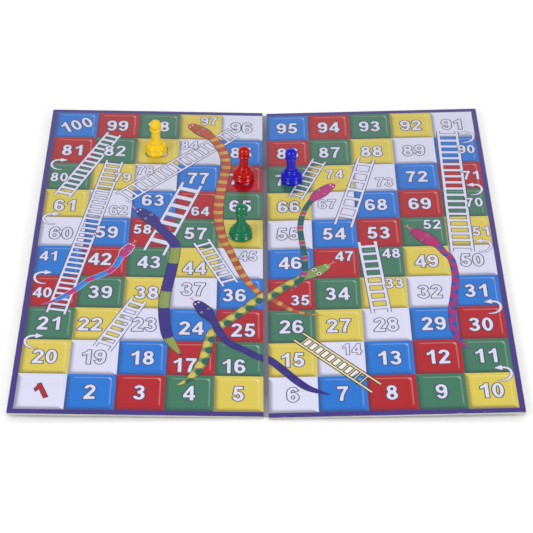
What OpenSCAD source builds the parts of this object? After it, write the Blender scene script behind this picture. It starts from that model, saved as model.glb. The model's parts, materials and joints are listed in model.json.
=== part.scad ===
// Folding snakes and ladders board with four pawns, open for play.
// Two die-cut greyboard halves carry a laminated print sheet on top and a lining paper
// underneath. A strip of cloth tape under the fold joins them like the spine of a book:
// a flap is glued under each half, and the bare strip between the flaps bends along two
// creases, so that the halves close face to face with the print inside.
// +X runs across the fold, +Y away from the player and +Z up. The origin is on the table,
// under the middle of the fold.

/* [Board] */
// Side of one printed square
square_w = 25.4; // [20:0.2:32]
// Squares along each side, an even number so that the fold falls between two columns
squares = 10; // [8:2:12]
// Width of the plain border around the squares
border_w = 3.1; // [1:0.1:10]
// Radius of the board's outer corners
corner_r = 0.8; // [0.2:0.1:3]
// Angle at which each half rises from the fold, in degrees
rest_tilt = 1.5; // [0.5:0.25:4]
// How far out of register the halves are glued along the fold
slip = 0.8; // [0:0.1:2]

/* [Layers] */
// Thickness of the greyboard core
core_t = 0.95; // [0.6:0.05:2.5]
// Thickness of the laminated print sheet
print_t = 0.12; // [0.05:0.01:0.3]
// Thickness of the lining paper on the underside
lining_t = 0.12; // [0.05:0.01:0.16]

/* [Hinge tape] */
// Thickness of the cloth tape
tape_t = 0.2; // [0.18:0.01:0.4]
// Width of the flap that is glued under each half
flap_w = 12; // [6:0.5:25]
// How far the tape stops short of the board at each end
tape_inset = 0.8; // [0.2:0.1:4]
// Clearance around the rounded crease where the tape bends
crease_clear = 0.03; // [0.01:0.01:0.1]
// Space between the two printed faces when the board is closed
closed_gap = 0.16; // [0.1:0.02:1]
// Gap between the edge of the lining paper and the tape flap
lining_gap = 0.3; // [0.1:0.1:2]

/* [Pawn] */
// Overall height of a pawn
pawn_h = 23; // [20:0.2:30]
// Radius of the round head
head_r = 3.45; // [3:0.05:3.8]
// How far the collar bead lies below the middle of the head
collar_drop = 2.95; // [2.6:0.05:3.6]
// Radius of the collar bead
collar_r = 3.5; // [3.2:0.05:4.2]
// Thickness of the collar bead
collar_t = 1.4; // [1.2:0.1:2]
// Radius of the throat between head and collar
throat_r = 2.9; // [2:0.1:2.9]
// Radius of the neck under the collar
neck_r = 2.6; // [2.3:0.05:2.7]
// Radius of the foot of the neck
neck_foot_r = 2.75; // [2.7:0.05:3]
// Radius of the step on which the neck stands
step_r = 3.85; // [3.7:0.05:4.4]
// Height of the step above the board
step_h = 8.5; // [8:0.1:9.6]
// Thickness of the step's rounded edge
step_t = 0.8; // [0.6:0.1:1.2]
// Height at which the bell starts to slope out from under the step
slope_h = 6.9; // [6.2:0.1:7.2]
// Largest radius of the bell
bell_r = 6.1; // [5.9:0.05:6.25]
// Height of the bell's widest place
bell_mid = 4.5; // [4.3:0.05:4.8]
// Radius of the bell's rounding
shoulder_r = 1.2; // [1:0.1:1.6]
// Radius of the ring between the bell and the base
ring_r = 6.3; // [6.1:0.05:6.6]
// Thickness of the ring
ring_t = 1.1; // [0.9:0.1:1.3]
// Largest radius of the rounded base
base_r = 6.5; // [6.2:0.1:7.5]
// Radius of the base's rounding
base_round = 1.4; // [1.3:0.1:1.8]
// Height of the base's widest place above the board
base_mid = 1.25; // [1:0.05:1.25]
// Radius at the bottom of the grooves beside the ring
groove_r = 5.85; // [5.5:0.05:6]
// Wall left around the hollow under the pawn
pawn_wall = 1.2; // [0.8:0.1:1.5]
// Space between a standing pawn and the print
stand_gap = 0.08; // [0.02:0.01:0.2]

/* [Pawn places, in squares] */
// Yellow pawn on the left half: distance from the fold and from the middle
yellow_at = [2.53, 3.495]; // [0:0.005:4]
// Red pawn on the left half: distance from the fold and from the middle
red_at = [0.445, 2.53]; // [0:0.005:4]
// Green pawn on the left half: distance from the fold and from the middle
green_at = [0.49, 0.44]; // [0:0.005:4]
// Blue pawn on the right half: distance from the fold and from the middle
blue_at = [0.57, 2.475]; // [0:0.005:4]

/* [Hidden] */
$fn = 64;

// The two halves, by the side of the fold on which they lie.
LEFT = -1;
RIGHT = 1;

// One half from its cut edge at the fold to its outer edge, and the board front to back.
half_w = square_w * squares / 2 + border_w;
board_d = square_w * squares + 2 * border_w;
tape_d = board_d - slip - 2 * tape_inset;

// Levels above the crease, whose axis runs in the middle of the tape.
crease_r = tape_t / 2;
core_z = crease_r;
print_z = core_z + core_t;
top_z = print_z + print_t;

// The spine is as wide as the closed board is thick, so the printed faces close parallel.
axis_x = top_z + closed_gap / 2;
axis_z = crease_r;
// Cut edge of a half, measured from its crease.
edge_x = crease_r + crease_clear;

// Heights of the pawn's parts above its standing edge.
head_y = pawn_h - head_r;
collar_y = head_y - collar_drop;
step_y = step_h - step_t / 2;
ring_y = (base_mid + bell_mid) / 2 + ring_t / 4;

// Colours of the pieces.
board_grey = [0.80, 0.79, 0.76];
print_violet = [0.33, 0.28, 0.60];
lining_white = [0.93, 0.93, 0.91];
tape_grey = [0.52, 0.51, 0.57];
plastic_yellow = [0.98, 0.80, 0.05];
plastic_red = [0.80, 0.03, 0.04];
plastic_green = [0.02, 0.46, 0.28];
plastic_blue = [0.10, 0.12, 0.78];

// A point at angle a on the circle of radius r around [x, y].
function on_circle(x, y, r, a) = [x + r * cos(a), y + r * sin(a)];

// Places what is drawn for the right half, measured from its crease, on either half.
module on_half(side) {
    translate([0, -side * slip / 2, 0])
        rotate([0, 0, side == RIGHT ? 0 : 180])
            translate([axis_x, 0, axis_z])
                rotate([0, -rest_tilt, 0])
                    children();
}

// Outline of one layer of a half, with both outer corners rounded.
module layer_outline(x0, x1) {
    polygon(concat(
        [[x0, -board_d / 2]],
        [for (a = [-90:15:0]) on_circle(x1 - corner_r, corner_r - board_d / 2, corner_r, a)],
        [for (a = [0:15:90]) on_circle(x1 - corner_r, board_d / 2 - corner_r, corner_r, a)],
        [[x0, board_d / 2]]
    ));
}

// One flat layer of a half: a plate from x0 to x1 with its underside at z0.
module layer(side, x0, x1, z0, t) {
    on_half(side)
        translate([0, 0, z0])
            linear_extrude(t)
                layer_outline(x0, x1);
}

// The stiff grey core of a half.
module core(side) {
    color(board_grey)
        layer(side, edge_x, edge_x + half_w, core_z, core_t);
}

// The printed and laminated sheet on top, trimmed with the core.
module print_sheet(side) {
    color(print_violet)
        layer(side, edge_x, edge_x + half_w, print_z, print_t);
}

// The plain paper underneath, from the tape flap outwards.
module lining(side) {
    color(lining_white)
        layer(side, edge_x + flap_w + lining_gap, edge_x + half_w, core_z - lining_t, lining_t);
}

// The glued flap, in line with the spine although the halves are out of register.
module tape_flap(side) {
    color(tape_grey)
        on_half(side)
            translate([edge_x, (slip - tape_d) / 2, -crease_r])
                cube([flap_w, tape_d, tape_t]);
}

// The bare strip between the creases, with an edge rounded about each crease axis.
module tape_spine() {
    color(tape_grey)
        translate([0, tape_d / 2, axis_z])
            rotate([90, 0, 0])
                linear_extrude(tape_d)
                    union() {
                        square([2 * axis_x, tape_t], center = true);
                        for (side = [LEFT, RIGHT])
                            translate([side * axis_x, 0])
                                circle(crease_r);
                    }
}

// A rounded ring of the pawn's outline: its outer radius, thickness and height.
module bead(r, t, y) {
    translate([r - t / 2, y])
        circle(t / 2);
    translate([0, y - t * 0.45])
        square([r - t / 2, t * 0.9]);
}

// The concave sweep from the neck into the top of the step.
module neck_fillet() {
    f = step_r - step_t / 2 - neck_foot_r;
    difference() {
        translate([neck_r, step_y])
            square([step_r - step_t / 2 - neck_r, f + step_t / 2]);
        translate([neck_foot_r + f, step_h + f])
            circle(f);
    }
}

// The straight neck, which widens a little towards its foot.
module neck() {
    polygon([[0, step_y], [neck_foot_r, step_y], [neck_r, collar_y], [0, collar_y]]);
}

// The wall under the step and the slope from it to the bell's rounding.
module bell_slope() {
    polygon([
        [0, bell_mid],
        [bell_r - shoulder_r, bell_mid],
        on_circle(bell_r - shoulder_r, bell_mid, shoulder_r, 45),
        [step_r, slope_h],
        [step_r, step_y],
        [0, step_y]
    ]);
}

// The hollow under the pawn, which tapers up into the neck.
module hollow_profile() {
    polygon([
        [0, 0],
        [groove_r - 2 * pawn_wall, 0],
        [neck_r - pawn_wall, step_h],
        [neck_r - pawn_wall, collar_y - collar_t],
        [0, collar_y - collar_t]
    ]);
}

// Half the pawn's section, right of its axis.
module pawn_profile() {
    difference() {
        intersection() {
            square([base_r * 2, pawn_h * 2]);
            union() {
                translate([0, head_y])
                    circle(head_r);
                translate([0, collar_y])
                    square([throat_r, collar_drop]);
                bead(collar_r, collar_t, collar_y);
                neck();
                neck_fillet();
                bead(step_r, step_t, step_y);
                bell_slope();
                translate([bell_r - shoulder_r, bell_mid])
                    circle(shoulder_r);
                translate([0, base_mid])
                    square([groove_r, bell_mid - base_mid]);
                bead(ring_r, ring_t, ring_y);
                translate([base_r - base_round, base_mid])
                    circle(base_round);
                square([base_r - base_round, bell_mid]);
            }
        }
        hollow_profile();
    }
}

// A moulded pawn that stands on its square and leans with its half of the board.
module pawn(side, at, tint) {
    color(tint)
        on_half(side)
            translate([edge_x + at.x * square_w, side * at.y * square_w, top_z + stand_gap])
                rotate_extrude()
                    pawn_profile();
}

core(LEFT);  // core_left
core(RIGHT);  // core_right
print_sheet(LEFT);  // print_left
print_sheet(RIGHT);  // print_right
lining(LEFT);  // lining_left
lining(RIGHT);  // lining_right
tape_flap(LEFT);  // tape_flap_left
tape_spine();
tape_flap(RIGHT);  // tape_flap_right
pawn(LEFT, yellow_at, plastic_yellow);  // pawn_yellow
pawn(LEFT, red_at, plastic_red);  // pawn_red
pawn(LEFT, green_at, plastic_green);  // pawn_green
pawn(RIGHT, blue_at, plastic_blue);  // pawn_blue
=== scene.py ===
import json
import math

import bmesh
import bpy
from mathutils import Color, Matrix, Vector
from mathutils.geometry import tessellate_polygon


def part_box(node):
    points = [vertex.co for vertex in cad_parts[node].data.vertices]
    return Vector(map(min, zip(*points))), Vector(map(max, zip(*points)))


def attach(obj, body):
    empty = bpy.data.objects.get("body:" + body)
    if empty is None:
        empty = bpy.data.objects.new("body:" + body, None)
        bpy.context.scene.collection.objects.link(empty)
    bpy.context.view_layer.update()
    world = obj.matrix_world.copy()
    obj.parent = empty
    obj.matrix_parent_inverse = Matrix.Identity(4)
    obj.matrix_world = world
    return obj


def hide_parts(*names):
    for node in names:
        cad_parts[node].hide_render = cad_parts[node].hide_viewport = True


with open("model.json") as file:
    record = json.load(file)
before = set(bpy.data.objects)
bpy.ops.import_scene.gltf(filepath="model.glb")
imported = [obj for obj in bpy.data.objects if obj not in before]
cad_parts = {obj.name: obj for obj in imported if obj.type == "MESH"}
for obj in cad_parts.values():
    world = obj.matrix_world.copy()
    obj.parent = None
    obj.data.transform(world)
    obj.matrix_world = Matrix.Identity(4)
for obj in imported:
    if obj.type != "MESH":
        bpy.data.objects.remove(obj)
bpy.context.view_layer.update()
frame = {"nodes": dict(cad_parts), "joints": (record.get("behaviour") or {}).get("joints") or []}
scene = bpy.context.scene
scene.view_settings.view_transform = "Standard"


# STUDIO
# A white floor with a painted shadow round the board, under a soft white sky and four soft lamps. The
# camera stands on the middle line of the board, about 41 degrees above it, as the photographer's did.
CAMERA_AT = (-0.0013, -0.7123, 0.6147)
CAMERA_DOWN = math.radians(41.32)
CAMERA_TURN = math.radians(0.16)
CAMERA_ROLL = math.radians(0.13)
CAMERA_NEAR = 0.01
PHOTO_PX = 533
FOCAL_PX = 1663
SENSOR_MM = 36
FLOOR_HALF = 2.5
FLOOR_DROP = 0.0001
QUARTERS = ((1, 1), (-1, 1), (-1, -1), (1, -1))
FLOOR_GREY = (0.90, 0.90, 0.90, 1)
# Painted shadow: the floor's colour where the board hides all of the sky, mixed in by ambient occlusion.
FLOOR_PAINTED_SHADOW = (0.40, 0.40, 0.41, 1)
PAINTED_SHADOW_REACH = 0.006
GLOW_MIDDLE = (0.0, -0.15, 0.0)
GLOW_REACH = 0.70
GLOW_LEAST = 0.015
GLOW_MOST = 0.50
SKY_LIGHT = 0.30
ROOM_SEEN = 0.20
BACKDROP_SEEN = 0.85
BACKDROP_FROM = 0.60
BACKDROP_TO = 0.85
WHITE = (1, 1, 1, 1)
LAMPS = [
    {"name": "lamp_left", "at": (-0.50, -0.48, 0.50), "size": 0.36, "watts": 3.1, "mirrored": True},
    {"name": "lamp_right", "at": (0.60, -0.42, 0.44), "size": 0.36, "watts": 2.8, "mirrored": True},
    {"name": "lamp_front", "at": (0.0, -0.42, 0.62), "size": 0.30, "watts": 0.6, "mirrored": False},
    {"name": "lamp_back", "at": (0.0, 0.55, 0.95), "size": 0.30, "watts": 2.5, "mirrored": False},
]
SUMS = {"+": "ADD", "-": "SUBTRACT", "*": "MULTIPLY", "/": "DIVIDE"}


def srgb(red, green, blue):
    """A colour as a screen shows it, 0 to 255, in Blender's linear values."""
    return [*Color((red / 255, green / 255, blue / 255)).from_srgb_to_scene_linear(), 1.0]


def feed(tree, made, feeds):
    """Sets the sockets of a node, each to a value or to the output that is wired to it."""
    for key, value in feeds.items():
        if isinstance(value, bpy.types.NodeSocket):
            tree.links.new(value, made.inputs[key])
        else:
            made.inputs[key].default_value = value


def node(tree, kind, feeds=None, **settings):
    """Adds a node, first with its settings and then with its feeds."""
    made = tree.nodes.new(kind)
    for key, value in settings.items():
        setattr(made, key, value)
    feed(tree, made, feeds or {})
    return made


def wire(tree, kind, feeds=None, **settings):
    """Adds a node and gives its first output."""
    return node(tree, kind, feeds, **settings).outputs[0]


def maths(tree, sign, *values):
    """One sum in a node tree, by its sign or by Blender's name for it."""
    return wire(tree, "ShaderNodeMath", dict(enumerate(values)), operation=SUMS.get(sign, sign))


def remap(tree, value, span, results, **settings):
    """Reads a value off a line that leads from one span to another and is level beyond it."""
    feeds = {0: value, 1: span[0], 2: span[1], 3: results[0], 4: results[1]}
    return wire(tree, "ShaderNodeMapRange", feeds, **settings)


def split(tree, vector):
    """The X, Y and Z of a vector."""
    return node(tree, "ShaderNodeSeparateXYZ", {0: vector}).outputs


def own_place(tree):
    """Where a point lies on its own piece."""
    return tree.nodes.new("ShaderNodeTexCoord").outputs["Object"]


def blend(tree, share, first, second, how="MIX"):
    """Mixes two colours in a node tree."""
    feeds = {0: share, 6: first, 7: second}
    return node(tree, "ShaderNodeMix", feeds, data_type="RGBA", blend_type=how).outputs[2]


def new_finish(name):
    """An empty node material: the material, its tree and its shader."""
    finish = bpy.data.materials.new(name)
    finish.use_nodes = True
    tree = finish.node_tree
    return finish, tree, tree.nodes["Principled BSDF"]


def placed(name, data):
    """Puts a new object in the scene."""
    made = bpy.data.objects.new(name, data)
    scene.collection.objects.link(made)
    return made


def place_camera():
    lens = bpy.data.cameras.new("camera")
    lens.sensor_width = SENSOR_MM
    lens.lens = SENSOR_MM * FOCAL_PX / PHOTO_PX
    lens.clip_start = CAMERA_NEAR
    turn = Matrix.Rotation(-CAMERA_TURN, 4, "Z")
    tip = Matrix.Rotation(math.pi / 2 - CAMERA_DOWN, 4, "X")
    roll = Matrix.Rotation(-CAMERA_ROLL, 4, "Z")
    scene.camera = placed("camera", lens)
    scene.camera.matrix_world = Matrix.Translation(CAMERA_AT) @ turn @ tip @ roll


def place_lamp(name, at, size, watts, mirrored):
    """A round lamp that faces the board. A lamp that is not mirrored leaves no highlight."""
    light = bpy.data.lights.new(name, "AREA")
    light.shape = "DISK"
    light.size = size
    light.energy = watts
    lamp = placed(name, light)
    aim = (-Vector(at)).to_track_quat("-Z", "Y").to_matrix().to_4x4()
    lamp.matrix_world = Matrix.Translation(at) @ aim
    lamp.visible_glossy = mirrored


def place_sky():
    """Even light from all round; glossy faces see a white backdrop behind and a dimmer room in front."""
    world = bpy.data.worlds.new("sky")
    world.use_nodes = True
    tree = world.node_tree
    path = tree.nodes.new("ShaderNodeLightPath").outputs
    behind = split(tree, tree.nodes.new("ShaderNodeTexCoord").outputs["Generated"])[1]
    room = remap(tree, behind, (BACKDROP_FROM, BACKDROP_TO), (ROOM_SEEN, BACKDROP_SEEN))
    lit = remap(tree, path["Is Glossy Ray"], (0.0, 1.0), (SKY_LIGHT, room))
    seen = maths(tree, "MAXIMUM", path["Is Camera Ray"], path["Is Transmission Ray"])
    strength = remap(tree, seen, (0.0, 1.0), (lit, 1.0))
    feed(tree, tree.nodes["Background"], {"Color": WHITE, "Strength": strength})
    scene.world = world


def place_floor():
    """A white floor with a painted shadow, darker close under the board, that the camera sees brighter far
    off.
    """
    finish, tree, shader = new_finish("floor_painted_shadow")
    # Painted shadow: ambient occlusion within a few millimetres darkens the floor's colour round and under
    # the board.
    painted_shadow_open_sky = node(tree, "ShaderNodeAmbientOcclusion", {"Distance": PAINTED_SHADOW_REACH}).outputs["AO"]
    feeds = {0: own_place(tree), 1: GLOW_MIDDLE}
    away = node(tree, "ShaderNodeVectorMath", feeds, operation="DISTANCE").outputs["Value"]
    glow = remap(tree, away, (0.0, GLOW_REACH), (GLOW_LEAST, GLOW_MOST))
    seen = tree.nodes.new("ShaderNodeLightPath").outputs["Is Camera Ray"]
    feed(tree, shader, {
        "Base Color": blend(tree, painted_shadow_open_sky, FLOOR_PAINTED_SHADOW, FLOOR_GREY),
        "Roughness": 1.0,
        "Specular IOR Level": 0.0,
        "Emission Color": WHITE,
        "Emission Strength": maths(tree, "*", seen, glow),
    })
    mesh = bpy.data.meshes.new("floor")
    corners = [(x * FLOOR_HALF, y * FLOOR_HALF, -FLOOR_DROP) for x, y in QUARTERS]
    mesh.from_pydata(corners, [], [(0, 1, 2, 3)])
    mesh.materials.append(finish)
    floor = placed("floor", mesh)


place_camera()
place_sky()
place_floor()
for lamp in LAMPS:
    place_lamp(**lamp)


# CORES
# Two die-cut plates of solid greyboard, pressed from pulp, which stiffen the halves. They are
# seen only as the bare cut edge all round, pale and slightly furry, with layers of fibre.
GREYBOARD_PALE = srgb(199, 198, 192)
GREYBOARD_DARK = srgb(178, 175, 167)
GREYBOARD_SPECK = srgb(146, 140, 128)
PULP_LAYER = 0.0004
PULP_STRETCH = (0.15, 0.15, 2.0)
PULP_FIBRE = 0.0003
SPECK_SIZE = 0.0007
SPECK_SHARE = 0.5


def grain(tree, size, detail=3, stretch=(1, 1, 1)):
    """Noise on the piece's own coordinates: its size in metres, and its stretch along X, Y and Z."""
    spread = wire(tree, "ShaderNodeMapping", {"Vector": own_place(tree), "Scale": stretch})
    return wire(tree, "ShaderNodeTexNoise", {"Vector": spread, "Scale": 1 / size, "Detail": detail})


def window(tree, value, low, high):
    """0 up to low, 1 from high on and straight between. A low above the high turns it round."""
    return remap(tree, value, (low, high), (0.0, 1.0))


def vary(tree, value, swing, least):
    """Scales a value by its swing and adds the least that it may be."""
    return maths(tree, "MULTIPLY_ADD", value, swing, least)


def roughen(tree, shader, height, depth):
    """Feeds the shader's normal with a bump of the given depth in metres."""
    bump = wire(tree, "ShaderNodeBump", {"Height": height, "Distance": depth, "Strength": 1.0})
    feed(tree, shader, {"Normal": bump})


def greyboard_finish():
    finish, tree, shader = new_finish("greyboard")
    layers = grain(tree, PULP_LAYER, stretch=PULP_STRETCH)
    fibres = grain(tree, PULP_FIBRE, detail=6)
    specks = window(tree, grain(tree, SPECK_SIZE), low=0.68, high=0.74)
    pulp = blend(tree, window(tree, layers, low=0.3, high=0.7), GREYBOARD_DARK, GREYBOARD_PALE)
    tint = blend(tree, maths(tree, "*", specks, SPECK_SHARE), pulp, GREYBOARD_SPECK)
    feed(tree, shader, {"Base Color": tint, "Roughness": 0.92, "Specular IOR Level": 0.2})
    roughen(tree, shader, maths(tree, "+", layers, fibres), depth=0.00008)
    return finish


def give(piece, finish):
    """Makes a finish the only one of a piece."""
    piece.data.materials.clear()
    piece.data.materials.append(finish)


def dress(finish, *names):
    """Gives a finish to solids that are carried over."""
    for name in names:
        give(frame["nodes"][name], finish)


dress(greyboard_finish(), "core_left", "core_right")


# LININGS
# Plain uncoated white paper glued under each half, from the tape flap to the outer edge. It
# has a soft cloudy look-through and short fibres, and is a little toothy to the touch.
LINING_WHITE = srgb(238, 237, 231)
LINING_CLOUD = srgb(232, 231, 225)
CLOUD_SIZE = 0.004
LINING_FIBRE = 0.0005
LINING_STRETCH = (1, 0.35, 1)


def lining_finish():
    finish, tree, shader = new_finish("lining_paper")
    clouds = window(tree, grain(tree, CLOUD_SIZE), low=0.35, high=0.65)
    fibres = grain(tree, LINING_FIBRE, detail=6, stretch=LINING_STRETCH)
    shade = vary(tree, fibres, swing=0.10, least=0.93)
    tint = blend(tree, 1.0, blend(tree, clouds, LINING_CLOUD, LINING_WHITE), shade, "MULTIPLY")
    feed(tree, shader, {"Base Color": tint, "Roughness": 0.85, "Specular IOR Level": 0.25})
    roughen(tree, shader, fibres, depth=0.00003)
    return finish


dress(lining_finish(), "lining_left", "lining_right")


# HINGE TAPE
# Grey cotton bookbinding tape, woven plain and sized with glue. A flap is glued under each half,
# and the bare strip between them shows at the bottom of the seam, its threads worn pale at the ends.
THREAD_PITCH = 0.0009
WARP_GREY = srgb(146, 143, 160)
WEFT_GREY = srgb(124, 123, 144)
THREAD_GAP = srgb(88, 86, 104)
THREAD_BARE = srgb(222, 220, 228)
WORN_FROM = 0.112
WORN_TO = 0.129
BARE_SHARE = 0.7
SLUB_SIZE = 0.0009
SLUB_STRETCH = (1, 0.2, 1)
SLUB_RELIEF = 0.4


def tape_finish():
    finish, tree, shader = new_finish("hinge_tape")
    x, y, _ = split(tree, own_place(tree))
    across, along = [maths(tree, "SINE", maths(tree, "*", way, math.pi / THREAD_PITCH)) for way in (x, y)]
    over = window(tree, maths(tree, "*", across, along), low=-0.15, high=0.15)
    crossing = maths(tree, "*", maths(tree, "ABSOLUTE", across), maths(tree, "ABSOLUTE", along))
    slubs = grain(tree, SLUB_SIZE, detail=4, stretch=SLUB_STRETCH)
    thread = blend(tree, over, WEFT_GREY, WARP_GREY)
    woven = blend(tree, window(tree, crossing, low=0.0, high=0.35), THREAD_GAP, thread)
    ends = window(tree, maths(tree, "ABSOLUTE", y), WORN_FROM, WORN_TO)
    bare = maths(tree, "*", maths(tree, "*", ends, over), BARE_SHARE)
    worn = blend(tree, bare, woven, THREAD_BARE)
    tint = blend(tree, 1.0, worn, vary(tree, slubs, swing=0.5, least=0.75), "MULTIPLY")
    feed(tree, shader, {"Base Color": tint, "Roughness": 0.8})
    feed(tree, shader, {"Specular IOR Level": 0.3, "Sheen Weight": 0.15})
    relief = maths(tree, "+", crossing, maths(tree, "*", slubs, SLUB_RELIEF))
    roughen(tree, shader, relief, depth=0.0001)
    return finish


dress(tape_finish(), "tape_flap_left", "tape_spine", "tape_flap_right")


# PRINT SHEETS
# Paper printed in four colours, covered with a clear gloss film and glued on the cores before
# they are trimmed. The violet ground shows as the narrow border round the squares.
BORDER = 0.0031
SQUARES = 10
FOLD_AT = SQUARES / 2
SIDES = {-1: "left", 1: "right"}
BORDER_VIOLET = srgb(62, 44, 128)
SCUFF_PALE = srgb(205, 202, 214)
FILM_PEEL = 0.004
FILM_DEPTH = 0.000006
DOT_SIZE = 0.0003
DRIFT_SIZE = 0.03
DRIFT_SWING = 0.08
HANDLED_SIZE = 0.012
RUB_SIZE = 0.003
SCUFF_SHARE = 0.4
joints = {joint["name"]: joint for joint in frame["joints"]}
tilt = math.radians(90 - joints["fold_right"]["range_deg"][1])
crease = Vector(joints["fold_right"]["pos_m"])


def half_place(side):
    """The placing of one half, which leans up from its crease and is glued a little off register."""
    low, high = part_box("core_" + SIDES[side])
    shift = Vector((0, (low[1] + high[1]) / 2, 0))
    pivot = Vector((side * crease.x, 0, crease.z))
    lean = Matrix.Rotation(-side * tilt, 4, "Y")
    return Matrix.Translation(shift + pivot) @ lean @ Matrix.Translation(-pivot)


half_places = {side: half_place(side) for side in SIDES}
flat_print = [half_places[1].inverted() @ v.co for v in frame["nodes"]["print_right"].data.vertices]
print_top = max(point.z for point in flat_print)
seam_edge = min(point.x for point in flat_print)
outer_edge = max(point.x for point in flat_print)
square = (outer_edge - seam_edge - BORDER) / FOLD_AT


def film_over(tree, shader, ink):
    """Ink on paper under a clear gloss film that is smooth but not quite flat."""
    dots = vary(tree, grain(tree, DOT_SIZE, detail=2), swing=0.10, least=0.91)
    drift = maths(tree, "*", grain(tree, DRIFT_SIZE, detail=2), DRIFT_SWING)
    tint = blend(tree, 1.0, ink, maths(tree, "+", dots, drift), "MULTIPLY")
    rough = vary(tree, grain(tree, HANDLED_SIZE, detail=5), swing=0.16, least=0.34)
    feed(tree, shader, {"Base Color": tint, "Roughness": rough, "Specular IOR Level": 0.15})
    feed(tree, shader, {"Coat Weight": 1.0, "Coat IOR": 1.6, "Coat Roughness": 0.10})
    roughen(tree, shader, grain(tree, FILM_PEEL, detail=2), FILM_DEPTH)


def border_finish():
    finish, tree, shader = new_finish("border_print")
    x, y, _ = split(tree, own_place(tree))
    from_side = maths(tree, "-", outer_edge, maths(tree, "ABSOLUTE", x))
    from_end = maths(tree, "-", square * FOLD_AT + BORDER, maths(tree, "ABSOLUTE", y))
    rim = maths(tree, "MINIMUM", from_side, from_end)
    worn = window(tree, rim, low=0.0007, high=0.0001)
    rubbed = window(tree, grain(tree, RUB_SIZE, detail=6), low=0.58, high=0.74)
    scuffs = maths(tree, "*", maths(tree, "*", worn, rubbed), SCUFF_SHARE)
    film_over(tree, shader, blend(tree, scuffs, BORDER_VIOLET, SCUFF_PALE))
    return finish


dress(border_finish(), "print_left", "print_right")


# SQUARES
# A hundred printed squares in five colours that shift by one from row to row. Each is drawn as a
# raised pad: a soft light line along its top and right, a soft dark one along its left and foot.
SQUARE_INKS = [
    srgb(14, 113, 208),
    srgb(175, 6, 26),
    srgb(55, 116, 91),
    srgb(217, 197, 80),
    srgb(218, 218, 242),
]
PAD_LOOPS = [
    {"inset": 0.0, "corner": 0.003, "light": 0.0, "dark": 0.90},
    {"inset": 0.028, "corner": 0.03, "light": 0.0, "dark": 1.0},
    {"inset": 0.06, "corner": 0.06, "light": 0.0, "dark": 0.70},
    {"inset": 0.093, "corner": 0.075, "light": 1.0, "dark": 0.28},
    {"inset": 0.135, "corner": 0.06, "light": 0.0, "dark": 0.0},
]
PAD_CORNER_STEPS = 4
PAD_LIGHT = srgb(255, 255, 255)
PAD_DARK = srgb(40, 34, 60)
PAD_LIGHT_SHARE = 0.55
PAD_LIGHT_FALL = 3.0
PAD_DARK_FALL = 1.5
PAD_DARK_MOST = 0.75
SQUARES_LIFT = 0.00001


def new_tree(name, **sizes):
    """An empty geometry tree with named inputs, listed by kind: the tree and its inputs."""
    tree = bpy.data.node_groups.new(name, "GeometryNodeTree")
    for kind, labels in {"Geometry": ["Drawing"], "Material": ["Finish"], **sizes}.items():
        for label in labels:
            tree.interface.new_socket(label, in_out="INPUT", socket_type="NodeSocket" + kind)
    tree.interface.new_socket("Result", in_out="OUTPUT", socket_type="NodeSocketGeometry")
    return tree, tree.nodes.new("NodeGroupInput").outputs


def close_tree(tree, geometry, given):
    """Ends a tree: instances become real and take the finish."""
    real = wire(tree, "GeometryNodeRealizeInstances", {0: geometry})
    inked = wire(tree, "GeometryNodeSetMaterial", {0: real, 2: given["Finish"]})
    node(tree, "NodeGroupOutput", {0: inked})


def store(tree, geometry, name, value, kind="FLOAT", domain="POINT"):
    """Keeps a value on the geometry under a name."""
    feeds = {0: geometry, "Name": name, "Value": value}
    return wire(tree, "GeometryNodeStoreNamedAttribute", feeds, data_type=kind, domain=domain)


def kept(tree, name, kind="FLOAT"):
    """Reads a value that was kept on the geometry."""
    return wire(tree, "GeometryNodeInputNamedAttribute", {"Name": name}, data_type=kind)


def vector(tree, x=0.0, y=0.0, z=0.0):
    """Three values as a vector."""
    return wire(tree, "ShaderNodeCombineXYZ", {0: x, 1: y, 2: z})


def mesh_of(shape, name, finishes=()):
    """Ends a drawing: it becomes a mesh with the given finishes."""
    mesh = bpy.data.meshes.new(name)
    shape.to_mesh(mesh)
    shape.free()
    for finish in finishes:
        mesh.materials.append(finish)
    return mesh


def grow(tree, start, sizes):
    """Runs a tree on a start shape and gives the result as a plain mesh."""
    source = placed("start", start)
    modifier = source.modifiers.new("grow", "NODES")
    modifier.node_group = tree
    for item in tree.interface.items_tree:
        if item.in_out == "INPUT" and item.name in sizes:
            modifier[item.identifier] = sizes[item.name]
    depsgraph = bpy.context.evaluated_depsgraph_get()
    shape = source.evaluated_get(depsgraph)
    mesh = bpy.data.meshes.new_from_object(shape, preserve_all_data_layers=True, depsgraph=depsgraph)
    source.modifiers.clear()
    bpy.data.objects.remove(source)
    return mesh


def print_finish(name, relief=False):
    """Film over the ink that the drawing carries as its own attribute."""
    finish, tree, shader = new_finish(name)
    ink = node(tree, "ShaderNodeAttribute", attribute_name="ink").outputs["Color"]
    if relief:
        pad = node(tree, "ShaderNodeAttribute", attribute_name="relief").outputs["Fac"]
        light = maths(tree, "POWER", maths(tree, "MAXIMUM", pad, 0.0), PAD_LIGHT_FALL)
        ink = blend(tree, maths(tree, "*", light, PAD_LIGHT_SHARE), ink, PAD_LIGHT)
        dark = maths(tree, "MAXIMUM", maths(tree, "*", pad, -1.0), 0.0)
        ink = blend(tree, maths(tree, "POWER", dark, PAD_DARK_FALL), ink, PAD_DARK)
    film_over(tree, shader, ink)
    return finish


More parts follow.
